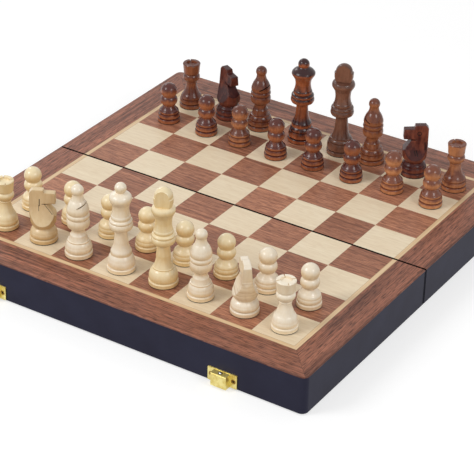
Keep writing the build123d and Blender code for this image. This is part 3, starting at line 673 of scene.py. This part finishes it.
# ---- Hinges -------------------------------------------------------------------------------------
# Two small brass butt hinges join the trays along the seam, underneath. Their leaves are pressed
# from sheet and let into the rails, and each is held by two countersunk brass screws.
BRASS = ((214, 192, 110), (238, 224, 152))
BRASS_TARNISH = (150, 118, 52)
BRASS_WEAR = 260.0

# Rubbed is 1 where handling has polished the metal, Specks are dull spots of tarnish. Size is how
# often the wear repeats per metre, and the specks are six times finer.
metal_wear, takes, gives = new_group("metal_wear", [("Place", "Vector", (0, 0, 0)), ("Size", "Float", 300.0)],
                                     [("Rubbed", "Float"), ("Specks", "Float")])
broad = noise(metal_wear, takes["Place"], takes["Size"], 3.0)
fine = noise(metal_wear, takes["Place"], times(metal_wear, takes["Size"], 6.0))
metal_wear.links.new(spread(metal_wear, broad, 0.35, 0.65), gives["Rubbed"])
metal_wear.links.new(spread(metal_wear, fine, 0.62, 0.75), gives["Specks"])


def worn_brass(tree, place):
    """Where brass is rubbed, its colour, and its surface."""
    wear = placed(tree, metal_wear, Place=place, Size=BRASS_WEAR)
    colour = touched(tree, toned(tree, wear["Rubbed"], BRASS), wear["Specks"], 0.3, BRASS_TARNISH)
    return wear["Rubbed"], colour, bumped(tree, wear["Rubbed"], 0.02, 0.0001)


brass, tree = new_material("brass")
rubbed, colour, surface = worn_brass(tree, place_on_object(tree))
finish_material(tree, Base_Color=colour, Roughness=spread(tree, rubbed, 0, 1, 0.34, 0.25),
                Normal=surface, Metallic=1.0)
dress(brass, "hinge_leaves_front", "hinge_leaves_back", "hinge_pins")

# ---- Screws -------------------------------------------------------------------------------------
# Sixteen small brass wood screws with countersunk heads and cross recesses: two through each hinge
# leaf, driven up into the rims, and two through each catch and hasp plate, driven in level.
LEAF_SCREW = (0.0015, 0.0006, 0.0008, 0.0055)       # head radius and depth, shank radius, length
PLATE_SCREW = (0.0018, 0.0008, 0.0009, 0.0060)
RECESS_DEPTH = 0.0007
RECESS_HALF_WIDTH = 0.0003
RECESS_TOP = 1.6                                    # in half widths, where its sloping sides start down
RECESS_ENDS = 0.72                                  # of the head's radius
RECESS_END_SLOPE = 0.0002
THREAD_PITCH = 0.00055
THREAD_DEPTH = 0.00012
SCREW_BRASS = ((150, 112, 56), (196, 160, 92))
RECESS_SHADE = (20, 15, 9)
HINGE_X, LEAF_SCREW_Y, RIM_Z = 0.085, 0.004, 0.00115
LATCH_X, PLATE_FACE_Y, PLATE_MIDDLE_Z = 0.0925, 0.1567, 0.00645
LEAF_SCREW_HALF_PITCH, PLATE_SCREW_HALF_PITCH = 0.009, 0.0084
FIRST_TURN, NEXT_TURN = 0.5, 1.1                    # how far the screws are driven round, in radians
HEAD_RINGS = 13
SHANK_RINGS = 40
SCREW_SIDES = 48


def screw_surface(size, turn):
    """A screw as a profile spun about its axis, head up on the XY plane: from the middle of the
    head out to its rim, down the cone, along the thread and in to the point. Inside the rim the
    head sinks by RECESS_DEPTH * (RECESS_TOP - distance from the nearer of two crossed lines /
    RECESS_HALF_WIDTH), held between none and all of that depth, and the shank shrinks by
    THREAD_DEPTH * (1 + sin(2 pi z / THREAD_PITCH + a)) / 2. Returns its points and faces, and how
    deep each point lies, from 0 on the face to 1 in the recess, with 0.5 on the rim."""
    head_r, head_t, shank_r, length = size
    rings = HEAD_RINGS + SHANK_RINGS
    head, shank = np.linspace(0, head_r, HEAD_RINGS + 1)[1:], np.full(SHANK_RINGS, shank_r)
    shank_z = np.linspace(-head_t, shank_r - length, SHANK_RINGS)
    around = np.linspace(0, 2 * math.pi, SCREW_SIDES, endpoint=False)
    r, a = np.meshgrid(np.append(head, shank), around, indexing="ij")
    z = np.repeat(np.append(np.zeros(HEAD_RINGS), shank_z)[:, None], SCREW_SIDES, 1)
    thread = np.sin(2 * math.pi / THREAD_PITCH * z + a)
    r[HEAD_RINGS:] -= THREAD_DEPTH * (0.5 + 0.5 * thread[HEAD_RINGS:])
    near_line = np.minimum(np.abs(r * np.cos(a)), np.abs(r * np.sin(a)))
    recess = np.clip(RECESS_TOP - near_line / RECESS_HALF_WIDTH, 0, 1)
    recess *= np.clip((RECESS_ENDS * head_r - r) / RECESS_END_SLOPE, 0, 1)
    inside_rim = (np.arange(rings) < HEAD_RINGS - 1)[:, None]
    z -= RECESS_DEPTH * recess * inside_rim
    skin = np.stack([r * np.cos(a + turn), r * np.sin(a + turn), z], -1).reshape(-1, 3)
    points = np.vstack([skin, (0, 0, -RECESS_DEPTH), (0, 0, -length)])
    *quads, first, last = tube_faces(rings, SCREW_SIDES)
    middle, point = len(skin), len(skin) + 1
    fans = [(middle, i, j) for i, j in zip(first, first[1:] + first[:1])]
    fans += [(point, i, j) for i, j in zip(last, last[1:] + last[:1])]
    sunk = recess * inside_rim
    sunk[HEAD_RINGS - 1] = 0.5
    return points, quads + fans, np.append(sunk, (1, 0))


def stood(points, seat, up):
    """Points moved to a seat, with their own X along the board's and their own Z out of the wood."""
    along = (1, 0, 0)
    return np.asarray(seat) + points @ np.stack([along, np.cross(up, along), up])


screw_brass, tree = new_material("screw_brass")
wear = placed(tree, metal_wear, Place=place_on_object(tree), Size=700.0)
sunk = put(tree, "ShaderNodeAttribute", {"attribute_name": "sunk"}).outputs["Fac"]
# The cross recess and the ring round the head's rim are darkened with painted shade; tarnish specks darken it
# a little too.
recess_shade_and_tarnish = larger(tree, spread(tree, sunk, 0.0, 0.5), times(tree, wear["Specks"], 0.4))
colour = mixed(tree, recess_shade_and_tarnish, toned(tree, wear["Rubbed"], SCREW_BRASS), srgb(*RECESS_SHADE))
finish_material(tree, Base_Color=colour, Roughness=spread(tree, recess_shade_and_tarnish, 0, 1, 0.3, 0.7),
                Normal=bumped(tree, wear["Rubbed"], 0.1, 0.0001), Metallic=1.0)

for half, side in (("front", -1), ("back", 1)):
    seats = [(size, (x * middle + along * half_pitch, side * y, z), up)
             for size, middle, half_pitch, y, z, up in (
                 (LEAF_SCREW, HINGE_X, LEAF_SCREW_HALF_PITCH, LEAF_SCREW_Y, RIM_Z, (0, 0, -1)),
                 (PLATE_SCREW, LATCH_X, PLATE_SCREW_HALF_PITCH, PLATE_FACE_Y, PLATE_MIDDLE_Z, (0, side, 0)))
             for x in (-1, 1) for along in (-1, 1)]
    driven = []
    for number, (size, seat, up) in enumerate(seats):
        points, faces, sunk = screw_surface(size, FIRST_TURN + NEXT_TURN * number)
        driven.append((stood(points, seat, up), faces, sunk))
    points, faces, sunk, _ = joined(driven)
    screws = new_piece(half + "_cross_screws", points, faces, screw_brass, half + "_half", "brass")
    keep_numbers(screws, "sunk", sunk)
    smoothed(screws, 40)
    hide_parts(half + "_screws")

# ---- Catches and hasps --------------------------------------------------------------------------
# On the near end, a stamped brass box with a sprung steel ball; on the far end, a brass plate with
# a cranked strap on a pin. Shut, the strap's lip snaps over the ball.
STEEL = ((178, 180, 184), (226, 227, 230))
BALL_HOLE_SHADE = (34, 26, 16)
BALL_Y = -0.159
LIP_REACH = (0.00135, 0.0017)       # from the ball's middle: fully in painted shade, and clear of it
LIP_DEPTH = 0.0006                  # below the top of the box
BOX_TOP_DULLER = 0.22

bright_steel, tree = new_material("bright_steel")
wear = placed(tree, metal_wear, Place=place_on_object(tree), Size=900.0)
finish_material(tree, Base_Color=toned(tree, wear["Rubbed"], STEEL),
                Roughness=spread(tree, wear["Specks"], 0, 1, 0.10, 0.3), Metallic=1.0)
dress(bright_steel, "catch_ball_left", "catch_ball_right")

# The ball sits in a punched hole, and a ring of painted shade darkens the box's top round it. The box's top
# is duller than its sides.
catch_brass, tree = new_material("catch_brass")
place = place_on_object(tree)
rubbed, colour, surface = worn_brass(tree, place)
axes = axes_of(tree, place)
off_x = minus(tree, unsigned(tree, axes[0]), LATCH_X)
off_y = minus(tree, axes[1], BALL_Y)
off_ball = maths(tree, "SQRT", plus(tree, times(tree, off_x, off_x), times(tree, off_y, off_y)))
on_top = maths(tree, "GREATER_THAN", axes[2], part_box("catch_plates")[1].z - LIP_DEPTH)
colour = touched(tree, colour, spread(tree, off_ball, *LIP_REACH, 1.0, 0.0), on_top, BALL_HOLE_SHADE)
rough = plus(tree, spread(tree, rubbed, 0, 1, 0.40, 0.32), times(tree, on_top, BOX_TOP_DULLER))
finish_material(tree, Base_Color=colour, Roughness=rough, Normal=surface, Metallic=1.0)
dress(catch_brass, "catch_plates")
dress(brass, "hasp_plates", "hasp_pins", "hasp_strap_left", "hasp_strap_right")

# ---- Springs of the catches ---------------------------------------------------------------------
# Each ball stands on a coil of steel wire, whose end turns are wound close.
SPRING_GREY = ((132, 132, 136), (176, 176, 180))
SPRING_RADIUS = 0.00085
SPRING_TURNS = 6
STEPS_PER_TURN = 28
WIRE_HALF = 0.00015
WIRE_SIDES = 10
CLOSE_CLIMB = 2.1 * WIRE_HALF       # in an end turn, a little more than the wire is thick

spring_wire, tree = new_material("spring_wire")
wear = placed(tree, metal_wear, Place=place_on_object(tree), Size=2500.0)
finish_material(tree, Base_Color=toned(tree, wear["Rubbed"], SPRING_GREY),
                Roughness=spread(tree, wear["Rubbed"], 0, 1, 0.45, 0.3), Metallic=1.0)


def coil_spring(middle, foot, top):
    """A round wire carried up a helix. Its middle line turns SPRING_TURNS times at SPRING_RADIUS,
    and climbs CLOSE_CLIMB in the first and in the last turn and evenly in between. A ring of the
    wire is middle line + WIRE_HALF * (cos b * outward + sin b * (tangent x outward))."""
    turns = np.linspace(0, SPRING_TURNS, STEPS_PER_TURN * SPRING_TURNS + 1)
    a = 2 * math.pi * turns
    low, high = foot + WIRE_HALF, top - WIRE_HALF
    height = np.interp(turns, [0, 1, SPRING_TURNS - 1, SPRING_TURNS],
                       [low, low + CLOSE_CLIMB, high - CLOSE_CLIMB, high])
    outward = np.stack([np.cos(a), np.sin(a), np.zeros(len(a))], 1)
    line = np.asarray([*middle, 0]) + SPRING_RADIUS * outward + height[:, None] * (0, 0, 1)
    tangent = np.gradient(line, axis=0)
    side = np.cross(tangent / np.linalg.norm(tangent, axis=1, keepdims=True), outward)
    b = np.linspace(0, 2 * math.pi, WIRE_SIDES, endpoint=False)[None, :, None]
    rings = line[:, None] + WIRE_HALF * (np.cos(b) * outward[:, None] + np.sin(b) * side[:, None])
    return rings.reshape(-1, 3), tube_faces(len(line), WIRE_SIDES)


for side in ("left", "right"):
    low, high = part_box("catch_spring_" + side)
    foot, top = low.z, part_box("catch_ball_" + side)[0].z
    middle = ((low.x + high.x) / 2, (low.y + high.y) / 2)
    spring = new_piece("ball_spring_" + side, *coil_spring(middle, foot, top), spring_wire,
                       "front_half", "spring_steel")
    smoothed(spring, 50)
    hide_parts("catch_spring_" + side)
    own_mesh(spring)

# ---- Chessmen -----------------------------------------------------------------------------------
# Each man is turned from one piece of hardwood, boxwood-coloured or stained brown, and dipped in
# clear lacquer. Its foot is covered with a disc of felt. The grain runs up the man.
MM = 0.001
BOARD_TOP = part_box("front_border")[1].z
FELT_TOP = BOARD_TOP + 0.0006
FOOT_FELT = ((10, 20, 16), (22, 38, 30))
MAN_GRAIN = (260, 260, 20)
# Two tones each, for what faces up and for the sides. On the boxwood men the darker, warmer sides
# are painted shade. On the stained men the darker tops are where stain and lacquer lie thick, and the
# lighter, warmer sides are partly thin stain and partly painted light thrown up from the board.
BOXWOOD = {
    "honey": (((234, 212, 168), (243, 227, 189)), ((220, 186, 128), (235, 207, 153))),
    "pale": (((234, 219, 194), (244, 232, 212)), ((226, 198, 156), (239, 217, 181))),
    "white": (((243, 230, 206), (250, 240, 222)), ((236, 214, 178), (246, 230, 200))),
    "tawny": (((217, 189, 144), (231, 207, 166)), ((198, 160, 108), (215, 181, 130))),
}
STAIN = {
    "deep": (((52, 22, 22), (78, 37, 34)), ((102, 52, 41), (140, 77, 57))),
    "rich": (((34, 8, 11), (56, 19, 19)), ((130, 64, 38), (178, 100, 60))),
    "banded": (((66, 27, 22), (94, 44, 34)), ((140, 78, 48), (176, 108, 70))),
    "brown": (((76, 36, 26), (104, 55, 38)), ((126, 72, 46), (164, 100, 66))),
    "ruddy": (((90, 44, 28), (120, 66, 44)), ((144, 86, 54), (180, 116, 78))),
    "grey": (((80, 48, 37), (106, 70, 54)), ((114, 72, 54), (150, 104, 82))),
    "tan": (((92, 48, 34), (130, 76, 54)), ((168, 104, 68), (206, 142, 96))),
}
# The men of each shade. Light men that aren't named are honey, and dark ones brown.
BOXWOOD_MEN = {
    "pale": ("bishop_c", "queen", "bishop_f", "knight_g", "pawn_g", "pawn_h"),
    "white": ("rook_h",),
    "tawny": ("knight_b",),
}
STAINED_MEN = {
    "deep": ("knight_b", "knight_g"),
    "rich": ("queen",),
    "banded": ("pawn_a", "pawn_b", "pawn_d", "pawn_e", "pawn_f"),
    "ruddy": ("bishop_f",),
    "grey": ("king",),
    "tan": ("rook_h", "pawn_c", "pawn_g", "pawn_h"),
}
# Cloudy is how far the tones run into each other and how wavy the lacquer is. Gloss is the
# lacquer's roughness where it is smoothest, and sheen its refractive index.
BOXWOOD_FINISH = {"pore": (190, 150, 100), "cloudy": 0.5, "gloss": 0.18, "sheen": 1.45}
CUT_BOXWOOD_FINISH = {**BOXWOOD_FINISH, "pore": (176, 132, 82)}
STAINED_FINISH = {"pore": (44, 18, 12), "cloudy": 1.0, "gloss": 0.20, "sheen": 1.42}
DARK_KNIGHT_FINISH = {**STAINED_FINISH, "cloudy": 1.6, "gloss": 0.22, "sheen": 1.3}
GLOSS_VARIES = 0.06
CLOUD_STRETCH = (2.2, 2.2, 1.0)
TOP_TONE_STARTS = 0.42             # of cloudy
TOP_TONE_RAMP = 0.5
WAVES = 3.0                     # height of the lacquer's waves, in tenths of a millimetre
CUT_DEPTH = 6.0                 # in tenths of a millimetre
CUT_SHADE = 0.2                 # painted shade: a cut is as dark as this share of the pores' colour
CUT_FULL = 0.6                  # of a cut's half width is as dark as that
KNIGHT_EDGE = 0.0011            # the carved heads' edges are rubbed this round
RING_GRAIN = (30, 30, 520)
RINGED = ("light_knight_g",)            # shows level growth rings on its neck
NECK = (0.011, 0.015, 0.026, 0.030)     # above the board, where the rings fade in and out

# A cut runs from one place to another, each in mm forwards (+) or backwards (-) of the man's axis and
# up from the board. Then comes its half width in mm. Mouths differ in width alone.
MOUTH = ((0.0, 28.65), (9.0, 29.0))
LIGHT_MITRE = ((1.2, 36.7), (8.8, 40.2), 0.36)
DARK_MITRE = ((0.4, 33.5), (8.8, 37.4), 0.5)
# Where each man with cuts stands, in mm, how far it is turned, in degrees, its size, and its cuts.
MARKED = {
    "light_bishop_c": ((-50.0, -115.9), 25, 1.05, [LIGHT_MITRE]),
    "light_bishop_f": ((47.0, -113.4), 150, 1.0, [LIGHT_MITRE]),
    "dark_bishop_c": ((-48.6, 111.0), 20, 1.0, [DARK_MITRE]),
    "dark_bishop_f": ((47.0, 112.9), 190, 1.0, [DARK_MITRE]),
    "light_knight_b": ((-81.5, -113.4), 32, 1.0, [
        ((-2.0, 32.5), (-2.1, 27.6), 0.36), ((-2.6, 28.0), (-2.5, 24.0), 0.18),
        ((1.6, 28.3), (6.6, 21.8), 0.2), (*MOUTH, 0.25)]),
    "light_knight_g": ((80.5, -112.4), 131, 1.0, [(*MOUTH, 0.35)]),
    "dark_knight_b": ((-78.0, 112.4), -28, 1.0, [
        ((-4.8, 16.6), (-3.7, 13.8), 0.35), ((-3.1, 15.6), (-2.0, 13.0), 0.35), (*MOUTH, 0.35)]),
    "dark_knight_g": ((81.5, 113.9), 213, 1.0, [
        ((-6.6, 27.0), (-6.9, 21.6), 0.4), ((-0.6, 21.0), (-1.7, 17.2), 0.4),
        ((0.9, 20.6), (-0.1, 17.4), 0.35), (*MOUTH, 0.35)]),
}
# Middle and radius of the ring cut round an eye, and how far from it the cut is full and ends, in mm.
EYES = {"dark_knight_g": ((-2.4, 33.6), 1.35, 0.2, 0.32)}

# Line is 1 within Width of a straight cut from Start along Run, across a man seen from its side.
saw_line, takes, gives = new_group(
    "saw_line", [("Place", "Vector", (0, 0, 0)), ("Start", "Vector", (0, 0, 0)), ("Run", "Vector", (0, 0, 1)),
                 ("Width", "Float", 0.0005)], [("Line", "Float")])
seen = vector_maths(saw_line, "MULTIPLY", takes["Place"], (1, 0, 1))
flat = vector_maths(saw_line, "SUBTRACT", seen, takes["Start"])
dots = [put(saw_line, "ShaderNodeVectorMath", {"operation": "DOT_PRODUCT"}, _0=one, _1=takes["Run"])
        for one in (flat, takes["Run"])]
share = put(saw_line, "ShaderNodeMath", {"operation": "DIVIDE", "use_clamp": True},
            _0=dots[0].outputs["Value"], _1=dots[1].outputs["Value"])
nearest = put(saw_line, "ShaderNodeVectorMath", {"operation": "SCALE"}, _0=takes["Run"],
              Scale=share.outputs[0])
away = put(saw_line, "ShaderNodeVectorMath", {"operation": "DISTANCE"}, _0=flat, _1=nearest.outputs[0])
full = times(saw_line, takes["Width"], CUT_FULL)
saw_line.links.new(spread(saw_line, away.outputs["Value"], full, takes["Width"], 1.0, 0.0), gives["Line"])


def from_side(along, up):
    """A place in mm on a man seen from its side, in metres."""
    return along * MM, 0, up * MM


def cuts_on(tree, place, name):
    """1 in the cuts of a man, in the axes of that man: the deepest of its lines at each point."""
    stand, turn, size, lines = MARKED[name]
    own = put(tree, "ShaderNodeMapping", {"vector_type": "TEXTURE"}, Vector=place,
              Location=(stand[0] * MM, stand[1] * MM, BOARD_TOP), Rotation=(0, 0, math.radians(turn)),
              Scale=(size, size, size)).outputs[0]
    cut = 0.0
    for start, stop, width in lines:
        run = from_side(stop[0] - start[0], stop[1] - start[1])
        line = placed(tree, saw_line, Place=own, Start=from_side(*start), Run=run, Width=width * MM)
        cut = larger(tree, line["Line"], cut)
    if name in EYES:
        middle, radius, full, width = EYES[name]
        seen = vector_maths(tree, "MULTIPLY", own, (1, 0, 1))
        away = put(tree, "ShaderNodeVectorMath", {"operation": "DISTANCE"}, _0=seen, _1=from_side(*middle))
        off_ring = unsigned(tree, minus(tree, away.outputs["Value"], radius * MM))
        cut = larger(tree, spread(tree, off_ring, full * MM, width * MM, 1.0, 0.0), cut)
    return cut


def ringed(tree, place, shift, height, wood, pore):
    """Wood with level growth rings on the man's neck."""
    rings = placed(tree, wood_figure, Place=place, Shift=shift, Stretch=RING_GRAIN)["Streaks"]
    fade_in, full, fading, gone = [BOARD_TOP + level for level in NECK]
    on_neck = times(tree, spread(tree, height, fade_in, full), spread(tree, height, fading, gone, 1.0, 0.0))
    return touched(tree, wood, times(tree, spread(tree, rings, 0.5, 0.8), on_neck), 0.6, pore)


def turned_wood(title, tones, finish, man=None):
    """Lacquered wood with its grain up the man and felt below FELT_TOP. Tones are those of what
    faces up and of the sides, mixed by facing: painted light, and on stained men thick stain too.
    Each man has another piece of wood, told by the square it stands on. The wood shows the cuts of a man that
    is named, darkened with painted shade."""
    pore, cloudy = finish["pore"], finish["cloudy"]
    material, tree = new_material(title)
    where = put(tree, "ShaderNodeTexCoord").outputs
    place = where["Object"]
    height = axes_of(tree, place)[2]
    own = placed(tree, own_square, Place=place)
    figure = placed(tree, wood_figure, Place=place, Shift=own["Shift"], Stretch=MAN_GRAIN)
    share = weighed(tree, (figure["Streaks"], 0.55), (own["Tone"], 0.45))
    moved = vector_maths(tree, "ADD", place, own["Shift"])
    clouds = noise(tree, vector_maths(tree, "MULTIPLY", moved, CLOUD_STRETCH), 110.0, 3.0, 0.6)
    # Facing up, with clouds over it, picks the top tones over the side tones: light and shade painted by
    # facing.
    facing_up_and_clouds = plus(tree, axes_of(tree, where["Normal"])[2], times(tree, clouds, cloudy))
    top_tone_share = spread(tree, facing_up_and_clouds, TOP_TONE_STARTS * cloudy, TOP_TONE_STARTS * cloudy + TOP_TONE_RAMP)
    wood = mixed(tree, top_tone_share, toned(tree, share, tones[1]), toned(tree, share, tones[0]))
    wood = touched(tree, wood, figure["Dashes"], 0.1 * cloudy, pore)
    if man in RINGED:
        wood = ringed(tree, place, own["Shift"], height, wood, pore)
    cut = cuts_on(tree, place, man) if man else 0.0
    # Cuts are darkened with painted shade, and sunk by the bump below.
    wood = mixed(tree, cut, wood, srgb(*[part * CUT_SHADE for part in pore]))
    on_felt = maths(tree, "LESS_THAN", height, FELT_TOP)
    felt = placed(tree, felt_fibres, Place=place)
    colour = mixed(tree, on_felt, wood, toned(tree, felt["Hairs"], FOOT_FELT))
    rough = spread(tree, figure["Fibres"], 0, 1, finish["gloss"], finish["gloss"] + GLOSS_VARIES)
    rough = larger(tree, rough, times(tree, larger(tree, on_felt, cut), 0.9))
    relief = plus(tree, times(tree, figure["Fibres"], 0.3), times(tree, felt["Height"], on_felt))
    relief = plus(tree, relief, times(tree, noise(tree, moved, 320.0), WAVES * cloudy))
    relief = minus(tree, relief, times(tree, cut, CUT_DEPTH))
    surface = put(tree, "ShaderNodeBump", Height=relief, Strength=0.15, Distance=0.0001)
    if man and "knight" in man:
        worn_edges = put(tree, "ShaderNodeBevel", {"samples": 6}, Radius=KNIGHT_EDGE)
        tree.links.new(worn_edges.outputs[0], surface.inputs["Normal"])
    finish_material(tree, Base_Color=colour, Roughness=rough, Normal=surface.outputs[0], IOR=finish["sheen"])
    return material


def finish_of(name):
    """Light men with cuts have browner pores than the others, and dark knights are cloudier."""
    if name.startswith("light"):
        return CUT_BOXWOOD_FINISH if name in MARKED else BOXWOOD_FINISH
    return DARK_KNIGHT_FINISH if "knight" in name else STAINED_FINISH


woods = {}
for side, title, shades, men_of_shade, usual in (("light", "boxwood_", BOXWOOD, BOXWOOD_MEN, "honey"),
                                                 ("dark", "stained_", STAIN, STAINED_MEN, "brown")):
    for name in [node for node in nodes if node.startswith(side)]:
        man = name.removeprefix(side + "_")
        shade = next((shade for shade, men in men_of_shade.items() if man in men), usual)
        wood = title + (man if name in MARKED else shade)
        if wood not in woods:
            woods[wood] = turned_wood(wood, shades[shade], finish_of(name), name if name in MARKED else None)
        dress(woods[wood], name)
